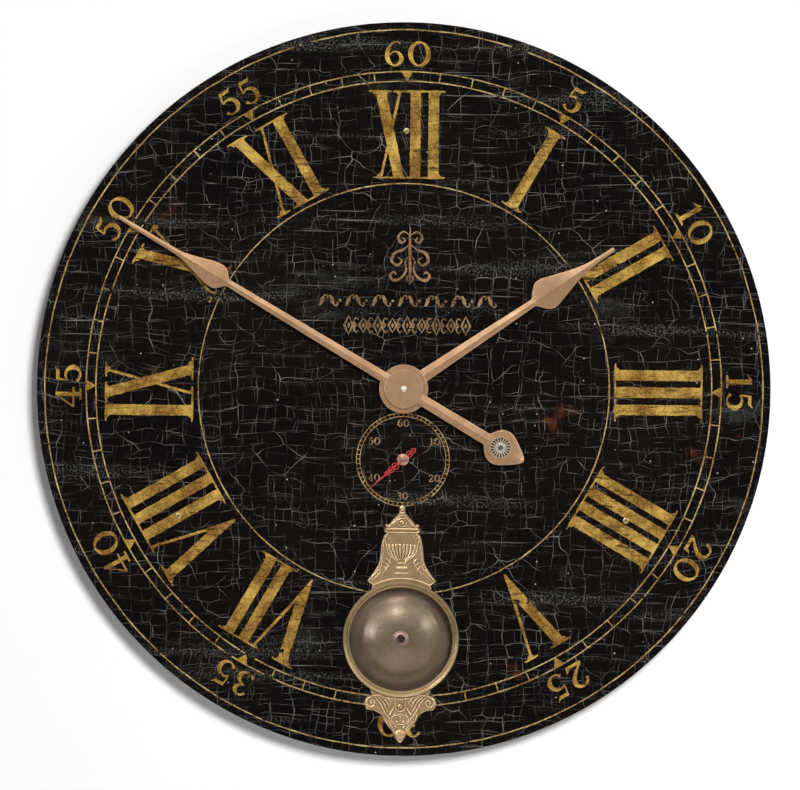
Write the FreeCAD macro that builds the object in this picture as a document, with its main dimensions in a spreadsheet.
"""Round wall clock, 30 inches across: a board dial on a spacer hoop, two quartz movements (time and seconds),
a short pendulum behind a window in the dial, and a cast bezel over that window.

Dial frame used by every sub-part: x to the right, y up, z from the wall towards the room, origin on the
minute hand's axis in the wall plane. Each sub-part's Placement turns it into the model frame, +Z up, in which
the dial faces -Y. Sizes are millimetres.
"""
import FreeCAD, Part
import math
import os
from types import SimpleNamespace

import Sketcher

Vector = FreeCAD.Vector
Rotation = FreeCAD.Rotation
Placement = FreeCAD.Placement
UPRIGHT = Rotation(Vector(1, 0, 0), 90)

SIZES = {
    # dial board and what carries it
    "panel_radius": 381.0,
    "panel_thickness": 9.0,
    "hoop_depth": 27.0,
    "hoop_outer_radius": 283.0,
    "hoop_inner_radius": 253.0,
    "hoop_notch_width": 184.0,
    "board_screw_circle": 268.0,
    "board_screw_radius": 1.9,
    "board_screw_head_radius": 3.0,
    "board_screw_head_height": 1.3,
    "board_screw_length": 24.0,
    # hanger
    "hanger_width": 120.0,
    "hanger_height": 60.0,
    "hanger_middle": 214.0,
    "plate_width": 84.0,
    "plate_height": 34.0,
    "plate_thickness": 1.5,
    "keyhole_radius": 5.0,
    "keyhole_slot_width": 5.0,
    "keyhole_slot_rise": 12.0,
    "keyhole_drop": 6.0,
    "head_pocket_depth": 9.0,
    "plate_screw_spacing": 66.0,
    "plate_screw_radius": 1.4,
    "plate_screw_head_radius": 2.9,
    "plate_screw_length": 14.0,
    # pendulum window and bezel
    "window_drop": 259.8,
    "board_window_radius": 56.0,
    "bezel_window_radius": 53.5,
    "bezel_ring_radius": 60.3,
    "bezel_plate_thickness": 2.4,
    "bezel_ring_height": 4.6,
    "bezel_top_screw_rise": 121.4,
    "bezel_low_screw_drop": 69.3,
    "bezel_screw_radius": 1.2,
    "bezel_screw_head_radius": 3.2,
    "bezel_screw_head_height": 1.5,
    "bezel_screw_length": 6.5,
    # movement cases, the same for time and seconds
    "case_side": 56.0,
    "case_corner_radius": 3.0,
    "case_front_depth": 8.2,
    "case_rear_depth": 8.8,
    "case_wall": 1.2,
    "gasket_thickness": 0.8,
    "gasket_radius": 13.0,
    "battery_radius": 7.1,
    "battery_length": 50.0,
    "battery_drop": 19.5,
    "battery_sink": 0.3,
    "battery_button_height": 1.5,
    "battery_button_share": 0.36,
    "contact_gap": 0.2,
    "contact_thickness": 0.5,
    "contact_width": 8.0,
    "contact_height": 10.0,
    "battery_bay_width": 52.4,
    "battery_bay_height": 14.8,
    "seconds_drop": 73.2,
    "bearing_radius": 0.65,
    "bearing_depth": 0.7,
    "arbor_radius": 0.6,
    "arbor_end_play": 0.1,
    # bushes, nuts and hand seats
    "time_bush_radius": 4.0,
    "time_bush_bore": 2.55,
    "time_bush_front": 39.6,
    "bush_flange": 2.0,
    "bush_flange_thickness": 0.6,
    "seconds_bush_radius": 3.4,
    "seconds_bush_bore": 1.3,
    "seconds_bush_front": 38.2,
    "board_hole_play": 0.6,
    "washer_thickness": 0.8,
    "time_washer_radius": 9.0,
    "time_nut_flats": 14.0,
    "time_nut_height": 2.2,
    "seconds_washer_radius": 6.0,
    "seconds_nut_flats": 10.0,
    "seconds_nut_height": 1.4,
    # wheel work: teeth and modules
    "minute_pinion_teeth": 12,
    "motion_wheel_teeth": 36,
    "setting_pinion_teeth": 18,
    "motion_module": 0.5,
    "motion_pinion_teeth": 10,
    "hour_wheel_teeth": 40,
    "hour_module": 0.48,
    "centre_wheel_teeth": 64,
    "third_wheel_teeth": 60,
    "train_pinion_teeth": 8,
    "train_module": 0.34,
    "step_wheel_teeth": 60,
    "step_pinion_teeth": 10,
    "step_module": 0.25,
    "rotor_wheel_teeth": 50,
    "rotor_pinion_teeth": 10,
    "rotor_module": 0.2,
    "tooth_root_half": 0.65,
    "tooth_tip_half": 0.28,
    "tooth_addendum": 0.8,
    "tooth_dedendum": 1.2,
    "hour_tube_radius": 2.5,
    "hour_tube_bore": 1.75,
    "hour_tube_front": 43.2,
    "minute_arbor_radius": 1.7,
    "minute_arbor_front": 49.4,
    "seconds_arbor_radius": 1.0,
    "setting_arbor_radius": 1.0,
    "knob_radius": 7.0,
    "knob_height": 3.8,
    "knob_gap": 0.3,
    "knob_bevel": 0.8,
    "rotor_magnet_radius": 2.4,
    "rotor_magnet_height": 3.0,
    # levels above the wall and face widths of the wheels
    "minute_arbor_shoulder": 17.0,
    "minute_pinion_level": 20.0,
    "minute_pinion_width": 2.2,
    "centre_wheel_level": 17.4,
    "centre_wheel_width": 1.2,
    "motion_wheel_level": 20.2,
    "motion_wheel_width": 1.6,
    "motion_pinion_level": 21.6,
    "motion_pinion_width": 2.7,
    "hour_wheel_level": 22.9,
    "hour_wheel_width": 1.2,
    "setting_arbor_top": 23.0,
    "third_pinion_level": 16.0,
    "third_pinion_width": 3.0,
    "third_wheel_level": 15.0,
    "third_wheel_width": 1.1,
    "fourth_pinion_level": 13.4,
    "fourth_pinion_width": 3.2,
    "step_wheel_level": 12.8,
    "step_wheel_width": 0.8,
    "step_pinion_level": 12.4,
    "step_pinion_width": 2.2,
    "rotor_wheel_level": 14.4,
    "rotor_wheel_width": 0.8,
    "rotor_pinion_level": 14.0,
    "rotor_pinion_width": 1.6,
    "seconds_arbor_shoulder": 14.2,
    "seconds_arbor_front": 40.0,
    # circuit board, stator and coil
    "circuit_board_width": 24.0,
    "circuit_board_height": 8.4,
    "circuit_board_thickness": 1.2,
    "circuit_board_shift": 13.4,
    "circuit_board_rise": 21.8,
    "circuit_board_lift": 1.5,
    "stator_length": 15.0,
    "stator_width": 9.6,
    "stator_thickness": 1.0,
    "stator_shift": 3.6,
    "stator_rise": 0.8,
    "stator_sink": 0.8,
    "coil_core_radius": 1.0,
    "coil_flange_radius": 3.1,
    "coil_flange_width": 0.6,
    "coil_wire_radius": 2.7,
    "coil_length": 9.6,
    "coil_shift": 3.4,
    "coil_rise": 4.4,
    "coil_lift": 4.3,
    # hands
    "hour_angle": 55.7,
    "hour_level": 41.2,
    "hour_thickness": 1.7,
    "hour_hub_radius": 25.4,
    "hour_length": 262.0,
    "minute_angle": 300.5,
    "minute_level": 45.3,
    "minute_thickness": 1.7,
    "minute_hub_radius": 20.3,
    "minute_length": 344.0,
    "minute_tail": 145.0,
    "rosette_at": 117.0,
    "rosette_radius": 11.6,
    "rosette_height": 1.6,
    "crystal_radius": 3.2,
    "crystal_height": 1.7,
    "cap_nut_radius": 3.1,
    "cap_nut_height": 3.8,
    "second_angle": 228.5,
    "second_level": 39.0,
    "second_thickness": 0.5,
    "second_length": 43.9,
    "second_tail": 17.9,
    "second_boss_radius": 6.0,
    "second_boss_height": 1.3,
    # pendulum
    "pivot_drop": 107.0,
    "pivot_pin_radius": 1.2,
    "pivot_eye_bore": 1.25,
    "pivot_eye_radius": 3.4,
    "hook_level": 16.4,
    "hook_thickness": 1.2,
    "drive_depth": 5.7,
    "drive_width": 28.0,
    "drive_bottom_drop": 136.0,
    "drive_coil_radius": 8.0,
    "drive_coil_height": 4.0,
    "magnet_drop": 124.0,
    "magnet_radius": 4.0,
    "magnet_height": 2.2,
    "rod_width": 3.2,
    "rod_thickness": 0.8,
    "rod_top_drop": 112.0,
    "rod_bottom_drop": 288.0,
    "bob_radius": 58.0,
    "bob_rim": 1.2,
    "bob_shell": 1.0,
    "bob_dome_height": 11.0,
    "bob_plate_radius": 55.0,
    "bob_plate_thickness": 0.8,
    "eyelet_radius": 8.3,
    "eyelet_bore": 3.6,
    "eyelet_tube_radius": 5.1,
    "eyelet_height": 1.4,
}

BOARD_SCREW_ANGLES = (0, 120, 240)
PLATE_SCREW_SINK = 0.1

# Cast plate round the pendulum window: right-hand edge as (height above the window's centre, half width),
# from the finial down to the ring, then from the ring down to the lower ball.
BEZEL_UPPER_EDGE = [
    (139.6, 1.6), (136.5, 3.6), (133.5, 3.2), (131.0, 3.7), (124.5, 9.5), (119.5, 13.5), (119.5, 20.2),
    (112.0, 17.6), (107.0, 20.1), (97.6, 21.8), (82.0, 23.3), (76.8, 24.9), (68.5, 30.1), (60.7, 36.1),
    (56.3, 30.3), (50.0, 33.0),
]
BEZEL_LOWER_EDGE = [
    (-50.0, 33.0), (-58.0, 30.0), (-61.0, 36.0), (-67.0, 38.2), (-73.0, 35.0), (-74.0, 27.3), (-78.4, 19.2),
    (-83.0, 18.2), (-90.3, 13.0), (-96.0, 7.8), (-101.7, 5.7), (-107.3, 1.6),
]


class Size(float):
    """A number that keeps the sheet formula it comes from, so that features can be bound to it."""

    def __new__(cls, number, formula):
        made = super().__new__(cls, number)
        made.formula = formula
        return made

    def __add__(self, other):
        return Size(float(self) + float(other), f"({self.formula} + {formula_of(other)})")

    def __radd__(self, other):
        return Size(float(other) + float(self), f"({formula_of(other)} + {self.formula})")

    def __sub__(self, other):
        return Size(float(self) - float(other), f"({self.formula} - {formula_of(other)})")

    def __rsub__(self, other):
        return Size(float(other) - float(self), f"({formula_of(other)} - {self.formula})")

    def __mul__(self, other):
        return Size(float(self) * float(other), f"({self.formula} * {formula_of(other)})")

    def __rmul__(self, other):
        return Size(float(other) * float(self), f"({formula_of(other)} * {self.formula})")

    def __truediv__(self, other):
        return Size(float(self) / float(other), f"({self.formula} / {formula_of(other)})")

    def __neg__(self):
        return Size(-float(self), f"(0 - {self.formula})")


def formula_of(number):
    return number.formula if isinstance(number, Size) else f"({float(number):.6f})"


doc = FreeCAD.newDocument("PendulumWallClock")
sheet = doc.addObject("Spreadsheet::Sheet", "Sizes")
for row, (name, number) in enumerate(SIZES.items(), start=1):
    sheet.set(f"A{row}", name)
    sheet.set(f"B{row}", str(number))
    sheet.setAlias(f"B{row}", name)
doc.recompute()
size = SimpleNamespace(**{name: Size(getattr(sheet, name), f"Sizes.{name}") for name in SIZES})

panel_back = size.hoop_depth
panel_front = panel_back + size.panel_thickness
case_front = panel_back - size.gasket_thickness
case_split = case_front - size.case_front_depth
case_back = case_split - size.case_rear_depth
arbor_front = case_front - size.case_wall + size.bearing_depth - size.arbor_end_play
arbor_back = case_back + size.case_wall - size.bearing_depth + size.arbor_end_play

sub_parts = []


# ---------------------------------------------------------------- drawing and feature helpers


def bind(target, path, number):
    """Tie a property or constraint to the sheet; plain numbers stay as they were set."""
    if isinstance(number, Size):
        target.setExpression(path, number.formula)


def place(part, x=0.0, y=0.0, z=0.0, turn=0.0):
    """Stand a finished sub-part at (x, y, z) of the dial frame, turned anticlockwise about the dial's axis."""
    part.Placement = Placement(Vector(x, -z, y), UPRIGHT.multiply(Rotation(Vector(0, 0, 1), turn)))
    bind(part, "Placement.Base.x", x)
    bind(part, "Placement.Base.y", -z)
    bind(part, "Placement.Base.z", y)
    sub_parts.append(part)
    return part


def body_named(label):
    body = doc.addObject("PartDesign::Body", label)
    body.Label = label
    return body


def sketch_on(body, name, role="XY_Plane", height=0.0, turn=0.0):
    """Empty sketch on one of the body's origin planes, raised and turned about the plane's normal."""
    sketch = body.newObject("Sketcher::SketchObject", name)
    plane = [feature for feature in body.Origin.OriginFeatures if feature.Role == role][0]
    sketch.AttachmentSupport = (plane, [""])
    sketch.MapMode = "FlatFace"
    sketch.AttachmentOffset = Placement(Vector(0, 0, height), Rotation(Vector(0, 0, 1), turn))
    bind(sketch, "AttachmentOffset.Base.z", height)
    return sketch


def add_bound(sketch, constraint, number):
    index = sketch.addConstraint(constraint)
    bind(sketch, f"Constraints[{index}]", number)


def fix_point(sketch, edge, end, x, y):
    """Hold one point of the sketch at (x, y)."""
    if x == 0 and y == 0:
        sketch.addConstraint(Sketcher.Constraint("Coincident", edge, end, -1, 1))
        return
    if x == 0:
        sketch.addConstraint(Sketcher.Constraint("PointOnObject", edge, end, -2))
    else:
        add_bound(sketch, Sketcher.Constraint("DistanceX", edge, end, float(x)), x)
    if y == 0:
        sketch.addConstraint(Sketcher.Constraint("PointOnObject", edge, end, -1))
    else:
        add_bound(sketch, Sketcher.Constraint("DistanceY", edge, end, float(y)), y)


def draw_circle(sketch, radius, x=0.0, y=0.0):
    edge = sketch.addGeometry(Part.Circle(Vector(x, y, 0), Vector(0, 0, 1), float(radius)), False)
    fix_point(sketch, edge, 3, x, y)
    add_bound(sketch, Sketcher.Constraint("Radius", edge, float(radius)), radius)


def arc_between(start, end, radius):
    """Arc from start to end; a positive radius turns anticlockwise, a negative one clockwise."""
    if radius < 0:
        start, end = end, start
    chord = end - start
    reach = math.sqrt(float(radius) ** 2 - (chord.Length / 2) ** 2)
    centre = (start + end) * 0.5 + Vector(-chord.y, chord.x, 0).normalize() * reach
    first = math.atan2(start.y - centre.y, start.x - centre.x)
    last = math.atan2(end.y - centre.y, end.x - centre.x)
    if last < first:
        last += 2 * math.pi
    return Part.ArcOfCircle(Part.Circle(centre, Vector(0, 0, 1), abs(float(radius))), first, last)


def draw_outline(sketch, corners):
    """Closed outline through corners; a corner (x, y, radius) starts an arc to the next corner."""
    points = [Vector(corner[0], corner[1], 0) for corner in corners]
    ends = []
    for index, corner in enumerate(corners):
        start, end = points[index], points[(index + 1) % len(points)]
        if len(corner) == 3:
            radius = corner[2]
            edge = sketch.addGeometry(arc_between(start, end, radius), False)
            span = radius if radius > 0 else -radius
            add_bound(sketch, Sketcher.Constraint("Radius", edge, float(span)), span)
            ends.append((edge, 1, 2) if radius > 0 else (edge, 2, 1))
        else:
            edge = sketch.addGeometry(Part.LineSegment(start, end), False)
            ends.append((edge, 1, 2))
    for index, (edge, first, last) in enumerate(ends):
        next_edge, next_first, _ = ends[(index + 1) % len(ends)]
        sketch.addConstraint(Sketcher.Constraint("Coincident", edge, last, next_edge, next_first))
        fix_point(sketch, edge, first, corners[index][0], corners[index][1])


def rectangle(width, height, x=0.0, y=0.0):
    """Corners of a rectangle centred on (x, y)."""
    left, right = x - width / 2, x + width / 2
    low, high = y - height / 2, y + height / 2
    return [(left, low), (right, low), (right, high), (left, high)]


def draw_loops(body, name, height, circles, outlines, turn=0.0):
    sketch = sketch_on(body, name, height=height, turn=turn)
    for circle in circles:
        draw_circle(sketch, *circle)
    for outline in outlines:
        draw_outline(sketch, outline)
    return sketch


def extrude(body, name, depth, height=0.0, circles=(), outlines=(), turn=0.0):
    """Pad of the loops, from height upwards by depth."""
    pad = body.newObject("PartDesign::Pad", name)
    pad.Profile = draw_loops(body, name + "_sketch", height, circles, outlines, turn)
    pad.Length = float(depth)
    bind(pad, "Length", depth)
    body.Tip = pad
    return pad


def cut(body, name, depth, top, circles=(), outlines=()):
    """Pocket of the loops, from the level top downwards by depth; it must take material away."""
    doc.recompute()
    before = body.Shape.Volume
    pocket = body.newObject("PartDesign::Pocket", name)
    pocket.Profile = draw_loops(body, name + "_sketch", top, circles, outlines)
    pocket.Length = float(depth)
    bind(pocket, "Length", depth)
    body.Tip = pocket
    doc.recompute()
    if body.Shape.Volume >= before - 1e-6:
        raise RuntimeError(f"{body.Label}: {name} cuts nothing")
    return pocket


def turned(body, name, profile):
    """Solid of revolution about z of a closed outline of (radius, height) points."""
    sketch = sketch_on(body, name + "_sketch", role="XZ_Plane")
    draw_outline(sketch, profile)
    revolution = body.newObject("PartDesign::Revolution", name)
    revolution.Profile = sketch
    revolution.ReferenceAxis = (sketch, ["V_Axis"])
    revolution.Angle = 360
    body.Tip = revolution
    return revolution


def steps(*spans):
    """Half profile of a stepped round bar, from (radius, top level) spans upwards; the first item is its foot."""
    foot, sections = spans[0], spans[1:]
    profile = [(0.0, foot)]
    level = foot
    for radius, top in sections:
        profile += [(radius, level), (radius, top)]
        level = top
    profile.append((0.0, level))
    return profile


def ring_profile(inner, outer, low, high):
    return [(inner, low), (outer, low), (outer, high), (inner, high)]


def round_corners(body, radius, low, high):
    """Fillet the body's outer upright edges that run from low to high."""
    doc.recompute()
    block = body.Tip
    names = []
    reach = max(vertex.Point.x for vertex in block.Shape.Vertexes)
    for index, edge in enumerate(block.Shape.Edges, start=1):
        start, end = edge.Vertexes[0].Point, edge.Vertexes[-1].Point
        upright = abs(start.x - end.x) < 1e-6 and abs(start.y - end.y) < 1e-6
        full = abs(abs(start.z - end.z) - (high - low)) < 1e-6
        if upright and full and abs(abs(start.x) - reach) < 1e-6:
            names.append(f"Edge{index}")
    fillet = body.newObject("PartDesign::Fillet", "corners")
    fillet.Base = (block, names)
    fillet.Radius = float(radius)
    bind(fillet, "Radius", radius)
    body.Tip = fillet


def add_gear(body, name, teeth, module, height, width, turn=0.0):
    """Toothed ring round an arbor that is already in the body: a root disc and one tooth, patterned."""
    root = module * (teeth / 2 - size.tooth_dedendum)
    tip = module * (teeth / 2 + size.tooth_addendum)
    foot = module * (teeth / 2 - size.tooth_dedendum - 0.2)
    disc = extrude(body, name + "_disc", width, height, circles=[(root,)])
    wide, narrow = module * size.tooth_root_half, module * size.tooth_tip_half
    outline = [(foot, -wide), (tip, -narrow), (tip, narrow), (foot, wide)]
    tooth = extrude(body, name + "_tooth", width, height, outlines=[outline], turn=turn)
    pattern = body.newObject("PartDesign::PolarPattern", name + "_teeth")
    pattern.Originals = [tooth]
    pattern.Axis = (disc.Profile[0], ["N_Axis"])
    pattern.Angle = 360
    pattern.Occurrences = int(teeth)
    bind(pattern, "Occurrences", teeth)
    body.Tip = pattern
    doc.recompute()


def mesh_turn(driver_teeth, driver_turn, teeth, direction):
    """Turn that sets a gap of a wheel against a tooth of its driver, which lies back along direction."""
    return direction + 180 + 180 / teeth - (driver_turn - direction) * driver_teeth / teeth


def polar(distance, degrees, x=0.0, y=0.0):
    angle = math.radians(degrees)
    return x + distance * math.cos(angle), y + distance * math.sin(angle)


def heading(start, end):
    return math.degrees(math.atan2(end[1] - start[1], end[0] - start[0]))


def centres(first_teeth, second_teeth, module):
    """Distance between the axes of two meshing wheels."""
    return module * (first_teeth + second_teeth) / 2


def mirrored(edge):
    """Closed symmetric outline from its right-hand edge of (height, half width), listed from the top down."""
    right = [(half, height) for height, half in edge]
    left = [(-half, height) for height, half in reversed(edge)]
    return right + left


# ---------------------------------------------------------------- where the wheels stand

MOTION_AT = polar(centres(size.minute_pinion_teeth, size.motion_wheel_teeth, size.motion_module), -10)
SETTING_AT = polar(centres(size.motion_wheel_teeth, size.setting_pinion_teeth, size.motion_module), 75, *MOTION_AT)
THIRD_AT = polar(centres(size.centre_wheel_teeth, size.train_pinion_teeth, size.train_module), 160)
FOURTH_AT = polar(centres(size.third_wheel_teeth, size.train_pinion_teeth, size.train_module), 62, *THIRD_AT)
STEP_REACH = centres(size.step_wheel_teeth, size.step_pinion_teeth, size.step_module)
ROTOR_REACH = centres(size.rotor_wheel_teeth, size.rotor_pinion_teeth, size.rotor_module)

# Each movement: its axis below the clock's centre, the wheel that its rotor drives, the heading of its stepping
# work and the side that its circuit board is on.
MOVEMENTS = {
    "time": SimpleNamespace(drop=0.0, wheel=FOURTH_AT, heading=20, board_side=-1),
    "seconds": SimpleNamespace(drop=size.seconds_drop, wheel=(0.0, 0.0), heading=150, board_side=1),
}
for movement in MOVEMENTS.values():
    movement.step = polar(STEP_REACH, movement.heading, *movement.wheel)
    movement.rotor = polar(ROTOR_REACH, movement.heading - 20, *movement.step)


# ---------------------------------------------------------------- dial board, hoop, hanger


def board_screw_places():
    return [polar(size.board_screw_circle, 90 - angle) for angle in BOARD_SCREW_ANGLES]


def bezel_screw_places():
    """The bezel's screws, above and below its window."""
    return [(0.0, size.bezel_top_screw_rise - size.window_drop), (0.0, -size.bezel_low_screw_drop - size.window_drop)]


def make_dial_panel():
    """Round board with holes for both movements' bushes, the pendulum window and the screws."""
    body = body_named("dial_panel")
    extrude(body, "board", size.panel_thickness, circles=[(size.panel_radius,)])
    holes = [
        (size.time_bush_radius + size.board_hole_play,),
        (size.seconds_bush_radius + size.board_hole_play, 0.0, -size.seconds_drop),
        (size.board_window_radius, 0.0, -size.window_drop),
    ]
    holes += [(size.board_screw_radius + 0.1, x, y) for x, y in board_screw_places()]
    holes += [(size.bezel_screw_radius + 0.1, x, y) for x, y in bezel_screw_places()]
    cut(body, "holes", size.panel_thickness, size.panel_thickness, circles=holes)
    place(body, z=panel_back)


def make_back_hoop():
    """Spacer ring glued behind the dial, open below so that the pendulum can swing in the gap."""
    body = body_named("back_hoop")
    extrude(body, "ring", size.hoop_depth, circles=[(size.hoop_outer_radius,), (size.hoop_inner_radius,)])
    notch = rectangle(size.hoop_notch_width, size.hoop_outer_radius, 0.0, -size.hoop_outer_radius)
    cut(body, "notch", size.hoop_depth, size.hoop_depth, outlines=[notch])
    pilots = [(size.board_screw_radius + 0.1, x, y) for x, y in board_screw_places()]
    pilot_depth = size.board_screw_length - size.panel_thickness + 1
    cut(body, "pilot_holes", pilot_depth, size.hoop_depth, circles=pilots)
    place(body)


def make_hanger_block():
    """Wooden block under the top of the hoop, recessed for the keyhole plate and the wall screw's head."""
    body = body_named("hanger_block")
    extrude(body, "block", panel_back, outlines=[rectangle(size.hanger_width, size.hanger_height)])
    cut(body, "plate_recess", size.plate_thickness, size.plate_thickness,
        outlines=[rectangle(size.plate_width, size.plate_height)])
    pocket_radius = size.keyhole_radius + 1
    rise = size.keyhole_slot_rise
    head_pocket = [
        (-pocket_radius, -size.keyhole_drop - pocket_radius),
        (pocket_radius, -size.keyhole_drop - pocket_radius),
        (pocket_radius, rise - size.keyhole_drop + pocket_radius - 2),
        (-pocket_radius, rise - size.keyhole_drop + pocket_radius - 2),
    ]
    cut(body, "head_pocket", size.head_pocket_depth, size.plate_thickness + size.head_pocket_depth,
        outlines=[head_pocket])
    half = size.plate_screw_spacing / 2
    cut(body, "screw_pilots", size.plate_screw_length, size.plate_screw_length + 0.5,
        circles=[(size.plate_screw_radius + 0.05, half, 0.0), (size.plate_screw_radius + 0.05, -half, 0.0)])
    place(body, y=size.hanger_middle)


def primitive(kind, name, base, **dimensions):
    """Part primitive with its sizes bound to the sheet, standing at base."""
    solid = doc.addObject(f"Part::{kind}", name)
    for property_name, number in dimensions.items():
        setattr(solid, property_name, float(number))
        bind(solid, property_name, number)
    solid.Placement = Placement(Vector(*base), Rotation())
    for axis, number in zip("xyz", base):
        bind(solid, f"Placement.Base.{axis}", number)
    return solid


def make_keyhole_plate():
    """Steel plate with a keyhole, flush with the wall side, and two countersunk holes."""
    half_width, half_height = size.plate_width / 2, size.plate_height / 2
    blank = primitive("Box", "plate_blank", (-half_width, -half_height, 0.0),
                      Length=size.plate_width, Width=size.plate_height, Height=size.plate_thickness)
    through = {"Height": size.plate_thickness + 2}
    slot_half = size.keyhole_slot_width / 2
    tools = [
        primitive("Cylinder", "keyhole_round", (0.0, -size.keyhole_drop, -1.0), Radius=size.keyhole_radius, **through),
        primitive("Box", "keyhole_slot", (-slot_half, -size.keyhole_drop, -1.0),
                  Length=size.keyhole_slot_width, Width=size.keyhole_slot_rise, **through),
        primitive("Cylinder", "keyhole_end", (0.0, size.keyhole_slot_rise - size.keyhole_drop, -1.0),
                  Radius=slot_half, **through),
    ]
    for side in (-1, 1):
        tools.append(primitive("Cone", "countersink", (side * size.plate_screw_spacing / 2, 0.0, 0.0),
                               Radius1=size.plate_screw_head_radius + 0.05, Radius2=size.plate_screw_radius + 0.05,
                               Height=size.plate_thickness))
    all_tools = doc.addObject("Part::MultiFuse", "keyhole_tools")
    all_tools.Shapes = tools
    plate = doc.addObject("Part::Cut", "keyhole_plate")
    plate.Label = "keyhole_plate"
    plate.Base = blank
    plate.Tool = all_tools
    place(plate, y=size.hanger_middle)


def grouped(label, pieces):
    """One sub-part that holds several identical separate solids."""
    group = doc.addObject("Part::Compound", label)
    group.Label = label
    group.Links = pieces
    return group


def screw_solid(name, shank, length, head, head_height, x, y, z):
    """Pan-head screw as a head disc on a shank, its head's underside at level z."""
    pin = primitive("Cylinder", name + "_shank", (x, y, z - length), Radius=shank, Height=length)
    cap = primitive("Cylinder", name + "_head", (x, y, z), Radius=head, Height=head_height)
    domed = doc.addObject("Part::Fillet", name + "_rounded_head")
    domed.Base = cap
    doc.recompute()
    top = max(range(3), key=lambda index: cap.Shape.Edges[index].BoundBox.ZMin)
    domed.Edges = [(top + 1, float(head_height) * 0.6, float(head_height) * 0.6)]
    screw = doc.addObject("Part::Fuse", name)
    screw.Base = pin
    screw.Tool = domed
    return screw


def make_screws():
    """Board screws, bezel screws and the keyhole plate's countersunk screws."""
    board = [screw_solid(f"board_screw_{index}", size.board_screw_radius, size.board_screw_length,
                         size.board_screw_head_radius, size.board_screw_head_height, x, y, panel_front)
             for index, (x, y) in enumerate(board_screw_places())]
    place(grouped("panel_screws", board))
    plate_top = panel_front + size.bezel_plate_thickness
    bezel = [screw_solid(f"bezel_screw_{index}", size.bezel_screw_radius, size.bezel_screw_length,
                         size.bezel_screw_head_radius, size.bezel_screw_head_height, x, y, plate_top)
             for index, (x, y) in enumerate(bezel_screw_places())]
    place(grouped("bezel_screws", bezel))
    plate_screws = []
    for side in (-1, 1):
        x = side * size.plate_screw_spacing / 2
        head = primitive("Cone", "plate_screw_head", (x, 0.0, PLATE_SCREW_SINK),
                         Radius1=size.plate_screw_head_radius - PLATE_SCREW_SINK, Radius2=size.plate_screw_radius,
                         Height=size.plate_thickness - PLATE_SCREW_SINK)
        shank = primitive("Cylinder", "plate_screw_shank", (x, 0.0, size.plate_thickness),
                          Radius=size.plate_screw_radius, Height=size.plate_screw_length - size.plate_thickness)
        screw = doc.addObject("Part::Fuse", "plate_screw")
        screw.Base = head
        screw.Tool = shank
        plate_screws.append(screw)
    place(grouped("keyhole_screws", plate_screws), y=size.hanger_middle)


def make_pendulum_bezel():
    """Cast plate over the pendulum window: crest with a finial, window ring and a scrolled drop."""
    body = body_named("pendulum_bezel")
    extrude(body, "plate", size.bezel_plate_thickness, outlines=[mirrored(BEZEL_UPPER_EDGE + BEZEL_LOWER_EDGE)])
    extrude(body, "ring", size.bezel_ring_height, circles=[(size.bezel_ring_radius,)])
    cut(body, "window", size.bezel_ring_height, size.bezel_ring_height, circles=[(size.bezel_window_radius,)])
    screws = [(size.bezel_screw_radius + 0.1, x, y + size.window_drop) for x, y in bezel_screw_places()]
    cut(body, "screw_holes", size.bezel_plate_thickness, size.bezel_plate_thickness, circles=screws)
    place(body, y=-size.window_drop, z=panel_front)


# ---------------------------------------------------------------- movements


def bearing_places(name):
    movement = MOVEMENTS[name]
    places = [movement.step, movement.rotor]
    if name == "time":
        places += [MOTION_AT, THIRD_AT, FOURTH_AT]
    return places


def make_case(name):
    """Two moulded halves of a movement's case; the rear one is open at the battery bay."""
    movement = MOVEMENTS[name]
    square = rectangle(size.case_side, size.case_side)
    inside = rectangle(size.case_side - 2 * size.case_wall, size.case_side - 2 * size.case_wall)
    bearings = [(size.bearing_radius, x, y) for x, y in bearing_places(name)]
    bush_radius = size.time_bush_radius if name == "time" else size.seconds_bush_radius

    front = body_named(f"{name}_case_front")
    extrude(front, "block", size.case_front_depth, outlines=[square])
    round_corners(front, size.case_corner_radius, 0.0, float(size.case_front_depth))
    hollow = size.case_front_depth - size.case_wall
    cut(front, "hollow", hollow, hollow, outlines=[inside])
    cut(front, "bush_hole", size.case_wall, size.case_front_depth, circles=[(bush_radius + 0.05,)])
    cut(front, "bearings", size.bearing_depth, hollow + size.bearing_depth, circles=bearings)
    place(front, y=-movement.drop, z=case_split)

    rear = body_named(f"{name}_case_rear")
    extrude(rear, "block", size.case_rear_depth, outlines=[square])
    round_corners(rear, size.case_corner_radius, 0.0, float(size.case_rear_depth))
    cut(rear, "hollow", size.case_rear_depth - size.case_wall, size.case_rear_depth, outlines=[inside])
    cut(rear, "bearings", size.bearing_depth, size.case_wall, circles=bearings + [(size.bearing_radius,)])
    bay = rectangle(size.battery_bay_width, size.battery_bay_height, 0.0, -size.battery_drop)
    cut(rear, "battery_bay", size.case_wall, size.case_wall, outlines=[bay])
    if name == "time":
        cut(rear, "setting_hole", size.case_wall, size.case_wall,
            circles=[(size.setting_arbor_radius + 0.05, *SETTING_AT)])
    place(rear, y=-movement.drop, z=case_back)


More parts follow.
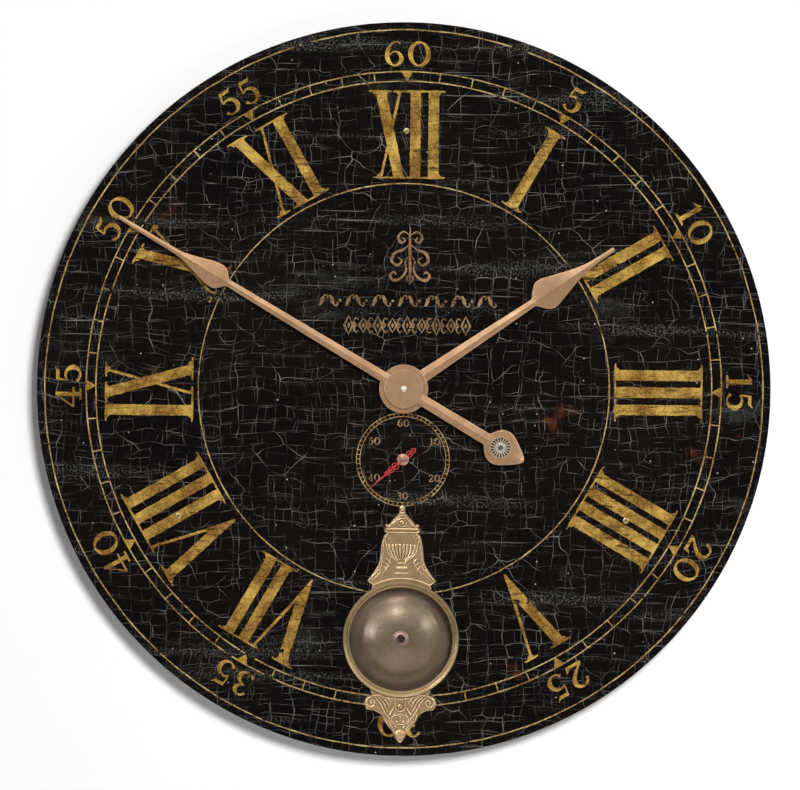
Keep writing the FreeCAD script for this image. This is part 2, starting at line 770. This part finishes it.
def make_battery(name):
    """AA cell lying in the bay, with its raised positive button, and a spring-metal contact at each end."""
    movement = MOVEMENTS[name]
    middle = case_split - size.battery_sink
    battery = body_named(f"{name}_battery")
    turned(battery, "cell", steps(0.0, (size.battery_radius, size.battery_length - size.battery_button_height),
                                  (size.battery_radius * size.battery_button_share, size.battery_length)))
    place(battery, x=-size.battery_length / 2, y=-movement.drop - size.battery_drop, z=middle)
    battery.Placement = Placement(battery.Placement.Base, Rotation(Vector(0, 1, 0), 90))
    contacts = []
    for side in (-1, 1):
        centre = side * (size.battery_length / 2 + size.contact_gap + size.contact_thickness / 2)
        corner = (centre - size.contact_thickness / 2, -size.battery_drop - size.contact_width / 2,
                  middle - size.contact_height / 2)
        contacts.append(primitive("Box", f"{name}_contact", corner, Length=size.contact_thickness,
                                  Width=size.contact_width, Height=size.contact_height))
    place(grouped(f"{name}_battery_contacts", contacts), y=-movement.drop)


def make_step_motor(name):
    """Circuit board, coil on its core, and the stator plate that the rotor turns in."""
    movement = MOVEMENTS[name]
    level = case_split - size.stator_sink
    turn = movement.heading - 20

    board = body_named(f"{name}_circuit_board")
    extrude(board, "board", size.circuit_board_thickness,
            outlines=[rectangle(size.circuit_board_width, size.circuit_board_height,
                                movement.board_side * size.circuit_board_shift, size.circuit_board_rise)])
    place(board, y=-movement.drop, z=case_split + size.circuit_board_lift)

    stator = body_named(f"{name}_stator")
    extrude(stator, "plate", size.stator_thickness,
            outlines=[rectangle(size.stator_length, size.stator_width, size.stator_shift, size.stator_rise)])
    cut(stator, "rotor_hole", size.stator_thickness, size.stator_thickness,
        circles=[(size.rotor_magnet_radius + 0.5,)])
    place(stator, x=movement.rotor[0], y=movement.rotor[1] - movement.drop, z=level, turn=turn)

    coil = body_named(f"{name}_coil")
    core, wire, flange, rim = (size.coil_core_radius, size.coil_wire_radius, size.coil_flange_radius,
                               size.coil_flange_width)
    far = size.coil_length
    turned(coil, "winding", steps(0.0, (core, rim), (flange, rim * 2), (wire, far - rim * 2), (flange, far - rim),
                                  (core, far)))
    across = polar(size.coil_rise, turn + 90, *polar(size.coil_shift, turn, *movement.rotor))
    place(coil, x=across[0], y=across[1] - movement.drop, z=level + size.coil_lift)
    along = Rotation(Vector(0, 0, 1), turn).multiply(Rotation(Vector(0, 1, 0), 90))
    coil.Placement = Placement(coil.Placement.Base, UPRIGHT.multiply(along))


def make_bush_set(name, radius, bore, front, nut_flats, nut_height, washer_radius, gasket):
    """Threaded bush fixed in the case, with the washer and thin hexagon nut that clamp it to the board."""
    drop = MOVEMENTS[name].drop
    bush = body_named(f"{name}_bush")
    inner_face = case_front - size.case_wall
    flange_back = inner_face - size.bush_flange_thickness
    turned(bush, "bush", [(bore, flange_back), (radius + size.bush_flange, flange_back),
                          (radius + size.bush_flange, inner_face), (radius, inner_face), (radius, front),
                          (bore, front)])
    place(bush, y=-drop)

    washer = body_named(f"{name}_washer")
    extrude(washer, "washer", size.washer_thickness, circles=[(washer_radius,), (radius + 0.1,)])
    place(washer, y=-drop, z=panel_front)

    nut = body_named(f"{name}_nut")
    corner = nut_flats / math.sqrt(3)
    hexagon = [polar(1.0, 60 * index) for index in range(6)]
    extrude(nut, "hexagon", nut_height, circles=[(radius + 0.02,)],
            outlines=[[(corner * x if abs(x) > 1e-9 else 0.0, corner * y if abs(y) > 1e-9 else 0.0)
                       for x, y in hexagon]])
    place(nut, y=-drop, z=panel_front + size.washer_thickness)

    if gasket:
        seal = body_named("rubber_gasket")
        extrude(seal, "seal", size.gasket_thickness, circles=[(size.gasket_radius,), (radius + 0.1,)])
        place(seal, y=-drop, z=case_front)


# ---------------------------------------------------------------- wheels

MOTION_TURN = mesh_turn(size.minute_pinion_teeth, 0.0, size.motion_wheel_teeth, heading((0, 0), MOTION_AT))
SETTING_TURN = mesh_turn(size.motion_wheel_teeth, MOTION_TURN, size.setting_pinion_teeth,
                         heading(MOTION_AT, SETTING_AT))
HOUR_TURN = mesh_turn(size.motion_pinion_teeth, 0.0, size.hour_wheel_teeth, heading(MOTION_AT, (0, 0)))
THIRD_PINION_TURN = mesh_turn(size.centre_wheel_teeth, 0.0, size.train_pinion_teeth, heading((0, 0), THIRD_AT))
FOURTH_PINION_TURN = mesh_turn(size.third_wheel_teeth, 0.0, size.train_pinion_teeth, heading(THIRD_AT, FOURTH_AT))


def make_minute_arbor():
    """Centre arbor that carries the minute hand, its pinion and the centre wheel."""
    body = body_named("minute_arbor")
    turned(body, "arbor", steps(arbor_back, (size.arbor_radius, size.minute_arbor_shoulder),
                                (size.minute_arbor_radius, size.minute_arbor_front)))
    add_gear(body, "pinion", size.minute_pinion_teeth, size.motion_module, size.minute_pinion_level,
             size.minute_pinion_width)
    add_gear(body, "centre_wheel", size.centre_wheel_teeth, size.train_module, size.centre_wheel_level,
             size.centre_wheel_width)
    place(body)


def make_motion_wheel():
    """Wheel and pinion that step the minute arbor down to the hour wheel."""
    body = body_named("motion_wheel")
    turned(body, "arbor", steps(arbor_back, (size.arbor_radius, arbor_front)))
    add_gear(body, "wheel", size.motion_wheel_teeth, size.motion_module, size.motion_wheel_level,
             size.motion_wheel_width, MOTION_TURN)
    add_gear(body, "pinion", size.motion_pinion_teeth, size.hour_module, size.motion_pinion_level,
             size.motion_pinion_width)
    place(body, x=MOTION_AT[0], y=MOTION_AT[1])


def make_hour_wheel():
    """Hour wheel on the tube that carries the hour hand."""
    body = body_named("hour_wheel")
    low, width = size.hour_wheel_level, size.hour_wheel_width
    turned(body, "tube", ring_profile(size.hour_tube_bore, size.hour_tube_radius, low, size.hour_tube_front))
    add_gear(body, "wheel", size.hour_wheel_teeth, size.hour_module, low, width, HOUR_TURN)
    cut(body, "bore", width, low + width, circles=[(size.hour_tube_bore,)])
    place(body)


def make_setting_knob():
    """Knob on the back of the time case, its arbor and the pinion that turns the motion wheel."""
    body = body_named("setting_knob")
    knob_back = case_back - size.knob_gap - size.knob_height
    knob_front = knob_back + size.knob_height
    turned(body, "knob", [(0.0, knob_back), (size.knob_radius - size.knob_bevel, knob_back),
                          (size.knob_radius, knob_back + size.knob_bevel), (size.knob_radius, knob_front),
                          (size.setting_arbor_radius, knob_front), (size.setting_arbor_radius, size.setting_arbor_top),
                          (0.0, size.setting_arbor_top)])
    add_gear(body, "pinion", size.setting_pinion_teeth, size.motion_module, size.motion_wheel_level,
             size.motion_wheel_width, SETTING_TURN)
    place(body, x=SETTING_AT[0], y=SETTING_AT[1])


def make_third_wheel():
    """Second wheel of the going train."""
    body = body_named("third_wheel")
    turned(body, "arbor", steps(arbor_back, (size.arbor_radius, arbor_front)))
    add_gear(body, "pinion", size.train_pinion_teeth, size.train_module, size.third_pinion_level,
             size.third_pinion_width, THIRD_PINION_TURN)
    add_gear(body, "wheel", size.third_wheel_teeth, size.train_module, size.third_wheel_level, size.third_wheel_width)
    place(body, x=THIRD_AT[0], y=THIRD_AT[1])


def make_fourth_wheel():
    """Wheel that turns once a minute, driven through the intermediate wheel by the rotor."""
    body = body_named("fourth_wheel")
    turned(body, "arbor", steps(arbor_back, (size.arbor_radius, arbor_front)))
    add_gear(body, "pinion", size.train_pinion_teeth, size.train_module, size.fourth_pinion_level,
             size.fourth_pinion_width, FOURTH_PINION_TURN)
    add_gear(body, "wheel", size.step_wheel_teeth, size.step_module, size.step_wheel_level, size.step_wheel_width)
    place(body, x=FOURTH_AT[0], y=FOURTH_AT[1])


def make_stepping_wheels(name):
    """Intermediate wheel and magnet rotor, which turn one full step wheel per minute."""
    movement = MOVEMENTS[name]
    step_turn = mesh_turn(size.step_wheel_teeth, 0.0, size.step_pinion_teeth, heading(movement.wheel, movement.step))
    rotor_turn = mesh_turn(size.rotor_wheel_teeth, 0.0, size.rotor_pinion_teeth,
                           heading(movement.step, movement.rotor))
    wheel = body_named(f"{name}_intermediate_wheel")
    turned(wheel, "arbor", steps(arbor_back, (size.arbor_radius, arbor_front)))
    add_gear(wheel, "pinion", size.step_pinion_teeth, size.step_module, size.step_pinion_level,
             size.step_pinion_width, step_turn)
    add_gear(wheel, "wheel", size.rotor_wheel_teeth, size.rotor_module, size.rotor_wheel_level,
             size.rotor_wheel_width)
    place(wheel, x=movement.step[0], y=movement.step[1] - movement.drop)

    rotor = body_named(f"{name}_rotor")
    magnet_top = case_split + 1.2
    magnet_low = magnet_top - size.rotor_magnet_height
    turned(rotor, "arbor", steps(arbor_back, (size.arbor_radius, magnet_low), (size.rotor_magnet_radius, magnet_top),
                                 (size.arbor_radius, arbor_front)))
    add_gear(rotor, "pinion", size.rotor_pinion_teeth, size.rotor_module, size.rotor_pinion_level,
             size.rotor_pinion_width, rotor_turn)
    place(rotor, x=movement.rotor[0], y=movement.rotor[1] - movement.drop)


def make_seconds_wheel():
    """Seconds arbor with its wheel, in the seconds movement."""
    body = body_named("seconds_wheel")
    turned(body, "arbor", steps(arbor_back, (size.arbor_radius, size.seconds_arbor_shoulder),
                                (size.seconds_arbor_radius, size.seconds_arbor_front)))
    add_gear(body, "wheel", size.step_wheel_teeth, size.step_module, size.step_wheel_level, size.step_wheel_width)
    place(body, y=-size.seconds_drop)


# ---------------------------------------------------------------- hands


def make_hand(name, level, thickness, hub, bore, angle, edge, tail_edge=(), drop=0.0):
    """Flat hand along +y, later turned to its angle: blade outline, round hub and the bore for its collet."""
    body = body_named(name)
    outline = mirrored(list(edge) + list(tail_edge))
    extrude(body, "blade", thickness, outlines=[outline])
    extrude(body, "hub", thickness, circles=[(hub,)])
    cut(body, "bore", thickness, thickness, circles=[(bore,)])
    place(body, y=-drop, z=level, turn=-float(angle))


def make_hour_hand():
    length = size.hour_length
    edge = [(length, 2.2), (length * 0.9, 2.9), (length * 0.81, 7.0), (length * 0.73, 13.4), (length * 0.695, 16.2),
            (length * 0.6775, 16.45), (length * 0.66, 15.4), (length * 0.635, 9.6), (length * 0.615, 4.05),
            (0.0, 7.05)]
    make_hand("hour_hand", size.hour_level, size.hour_thickness, size.hour_hub_radius,
              size.hour_tube_radius, size.hour_angle, edge)
    collet = body_named("hour_hand_collet")
    low = size.time_bush_front + 0.4
    turned(collet, "collet", ring_profile(size.hour_tube_radius, size.hour_tube_radius + 2.5, low, size.hour_level))
    place(collet)


def make_minute_hand():
    length, tail = size.minute_length, -size.minute_tail
    edge = [(length, 2.05), (length * 0.9, 2.5), (length * 0.802, 2.8), (length * 0.74, 6.6), (length * 0.69, 11.6),
            (length * 0.6635, 13.0), (length * 0.645, 12.2), (length * 0.63, 7.6), (length * 0.617, 3.75),
            (0.0, 5.65)]
    tail_edge = [(tail * 0.69, 6.4), (tail * 0.72, 12.0), (tail * 0.757, 17.0), (tail * 0.81, 18.7),
                 (tail * 0.86, 16.6), (tail * 0.92, 10.4), (tail * 0.97, 4.0), (tail, 0.6)]
    make_hand("minute_hand", size.minute_level, size.minute_thickness, size.minute_hub_radius,
              size.minute_arbor_radius, size.minute_angle, edge, tail_edge)

    collet = body_named("minute_hand_collet")
    turned(collet, "collet", ring_profile(size.minute_arbor_radius, size.minute_arbor_radius + 2.3,
                                          size.hour_tube_front + 0.4, size.minute_level))
    place(collet)

    cap = body_named("minute_cap_nut")
    face = size.minute_level + size.minute_thickness
    radius, high = size.cap_nut_radius, size.cap_nut_height
    bore_top = size.minute_arbor_front - face + 0.1
    turned(cap, "cap", [(size.minute_arbor_radius, 0.0), (radius, 0.0), (radius, high - 1.1), (radius * 0.6, high),
                        (0.0, high), (0.0, bore_top), (size.minute_arbor_radius, bore_top)])
    place(cap, z=face)

    x, y = polar(size.rosette_at, 270 - size.minute_angle)
    rosette = body_named("counterweight_rosette")
    turned(rosette, "dish", [(0.0, 0.0), (size.rosette_radius, 0.0), (size.rosette_radius, 0.5),
                             (size.rosette_radius * 0.75, size.rosette_height), (0.0, size.rosette_height)])
    place(rosette, x=x, y=y, z=face)
    crystal = body_named("rosette_crystal")
    turned(crystal, "stone", [(0.0, 0.0), (size.crystal_radius, 0.0), (size.crystal_radius, 0.4),
                              (size.crystal_radius * 0.55, size.crystal_height), (0.0, size.crystal_height)])
    place(crystal, x=x, y=y, z=face + size.rosette_height)


def make_second_hand():
    """Slim hand with a short tail, on a round boss that hides the seconds nut."""
    length, tail = size.second_length, -size.second_tail
    edge = [(length, 0.3), (length * 0.75, 0.6), (length * 0.55, 2.2), (length * 0.4, 2.8), (length * 0.2, 1.4),
            (0.0, 1.6)]
    tail_edge = [(tail * 0.5, 1.2), (tail * 0.75, 2.9), (tail * 0.9, 2.4), (tail, 0.6)]
    make_hand("second_hand", size.second_level, size.second_thickness, size.second_boss_radius - 1.5,
              size.seconds_arbor_radius, size.second_angle, edge, tail_edge, size.seconds_drop)

    boss = body_named("second_hand_boss")
    face = size.second_level + size.second_thickness
    bore_top = size.seconds_arbor_front - face + 0.1
    rim, shoulder = size.second_boss_height * 0.3, size.second_boss_height * 0.8
    turned(boss, "dome", [(size.seconds_arbor_radius, 0.0), (size.second_boss_radius, 0.0),
                          (size.second_boss_radius, rim), (size.second_boss_radius * 0.6, shoulder),
                          (0.0, size.second_boss_height), (0.0, bore_top), (size.seconds_arbor_radius, bore_top)])
    place(boss, y=-size.seconds_drop, z=face)


# ---------------------------------------------------------------- pendulum


def make_pendulum_drive():
    """Drive housing under the seconds case, its coil, and the fixed pin that the pendulum hangs on."""
    housing = body_named("pendulum_drive_housing")
    top_drop = size.seconds_drop + size.case_side / 2
    high = size.drive_bottom_drop - top_drop
    middle = -(size.drive_bottom_drop + top_drop) / 2
    extrude(housing, "block", size.drive_depth, outlines=[rectangle(size.drive_width, high, 0.0, middle)])
    cut(housing, "coil_seat", size.drive_depth - 1.0, size.drive_depth,
        circles=[(size.drive_coil_radius + 0.4, 0.0, -size.magnet_drop)])
    cut(housing, "pin_hole", 2.0, 2.0, circles=[(size.pivot_pin_radius, 0.0, -size.pivot_drop)])
    place(housing, z=case_front - size.drive_depth)

    coil = body_named("pendulum_drive_coil")
    extrude(coil, "winding", size.drive_coil_height, circles=[(size.drive_coil_radius,), (2.0,)])
    place(coil, y=-size.magnet_drop, z=case_front - size.drive_depth + 1.0)

    pin = body_named("pendulum_pivot_pin")
    housing_back = case_front - size.drive_depth
    pin_foot = size.hook_level - 3.2
    turned(pin, "pin", steps(pin_foot, (size.pivot_pin_radius + 1.0, pin_foot + 0.8),
                             (size.pivot_pin_radius, housing_back + 2.0)))
    place(pin, y=-size.pivot_drop)


def make_pendulum():
    """Hook with its eye and magnet seat, rod strip, drive magnet, domed bob, its back plate and eyelet."""
    hook = body_named("pendulum_hook")
    foot = size.magnet_drop - size.pivot_drop + size.magnet_radius + 1.5
    extrude(hook, "eye", size.hook_thickness, circles=[(size.pivot_eye_radius,)])
    extrude(hook, "tongue", size.hook_thickness,
            outlines=[rectangle(size.pivot_eye_radius * 2 - 1, foot, 0.0, -foot / 2)])
    cut(hook, "eye_bore", size.hook_thickness, size.hook_thickness, circles=[(size.pivot_eye_bore,)])
    place(hook, y=-size.pivot_drop, z=size.hook_level)

    rod = body_named("pendulum_rod")
    length = size.rod_bottom_drop - size.rod_top_drop
    extrude(rod, "strip", size.rod_thickness,
            outlines=[rectangle(size.rod_width, length, 0.0, -size.rod_top_drop - length / 2)])
    place(rod, z=size.hook_level - size.rod_thickness)

    magnet = body_named("pendulum_drive_magnet")
    extrude(magnet, "disc", size.magnet_height, circles=[(size.magnet_radius,)])
    place(magnet, y=-size.magnet_drop, z=size.hook_level + size.hook_thickness)

    plate = body_named("bob_back_plate")
    extrude(plate, "disc", size.bob_plate_thickness, circles=[(size.bob_plate_radius,)])
    place(plate, y=-size.window_drop, z=size.hook_level)

    bob = body_named("pendulum_bob")
    rim, high = size.bob_rim, size.bob_dome_height
    reach = size.bob_radius - 3.0
    sphere = float(reach ** 2 + high ** 2) / (2 * float(high))
    hole = size.eyelet_tube_radius + 0.1
    drop = sphere - math.sqrt(sphere ** 2 - float(hole) ** 2)
    inner_reach = size.bob_radius - 3.0 - size.bob_shell
    turned(bob, "shell", [(inner_reach, 0.0), (size.bob_radius, 0.0), (size.bob_radius, rim), (reach, rim, sphere),
                          (hole, rim + high - drop), (hole, rim + high - drop - size.bob_shell,
                                                      -(sphere - float(size.bob_shell)))])
    place(bob, y=-size.window_drop, z=size.hook_level + size.bob_plate_thickness)

    eyelet = body_named("bob_eyelet")
    crown = size.hook_level + size.bob_plate_thickness + size.bob_rim + size.bob_dome_height
    bore, tube, flange = size.eyelet_bore, size.eyelet_tube_radius, size.eyelet_radius
    turned(eyelet, "eyelet", [(bore, -3.0), (tube, -3.0), (tube, 0.0), (flange, 0.0), (flange, 0.6),
                              (flange - 1.2, size.eyelet_height), (bore + 0.9, size.eyelet_height), (bore, 0.6)])
    place(eyelet, y=-size.window_drop, z=crown)


# ---------------------------------------------------------------- build, check and write


def main():
    make_dial_panel()
    make_back_hoop()
    make_hanger_block()
    make_keyhole_plate()
    make_screws()
    make_pendulum_bezel()
    for name in MOVEMENTS:
        make_case(name)
        make_battery(name)
        make_step_motor(name)
        make_stepping_wheels(name)
    make_bush_set("time", size.time_bush_radius, size.time_bush_bore, size.time_bush_front, size.time_nut_flats,
                  size.time_nut_height, size.time_washer_radius, gasket=True)
    make_bush_set("seconds", size.seconds_bush_radius, size.seconds_bush_bore, size.seconds_bush_front,
                  size.seconds_nut_flats, size.seconds_nut_height, size.seconds_washer_radius, gasket=False)
    make_minute_arbor()
    make_motion_wheel()
    make_hour_wheel()
    make_setting_knob()
    make_third_wheel()
    make_fourth_wheel()
    make_seconds_wheel()
    make_hour_hand()
    make_minute_hand()
    make_second_hand()
    make_pendulum_drive()
    make_pendulum()
    doc.recompute()

    for item in doc.Objects:
        if "Invalid" in item.State or "Error" in item.State:
            raise RuntimeError(f"{item.Label} failed: {item.State}")
    os.makedirs("parts", exist_ok=True)
    for part in sub_parts:
        if part.Shape.isNull() or not part.Shape.isValid():
            raise RuntimeError(f"{part.Label} has no valid shape")
        part.Shape.exportStep(f"parts/{part.Label}.step")
        print(f"{part.Label}: {len(part.Shape.Solids)} solid(s), {part.Shape.Volume:.1f} mm3")
    print(len(sub_parts), "sub-parts")


main()
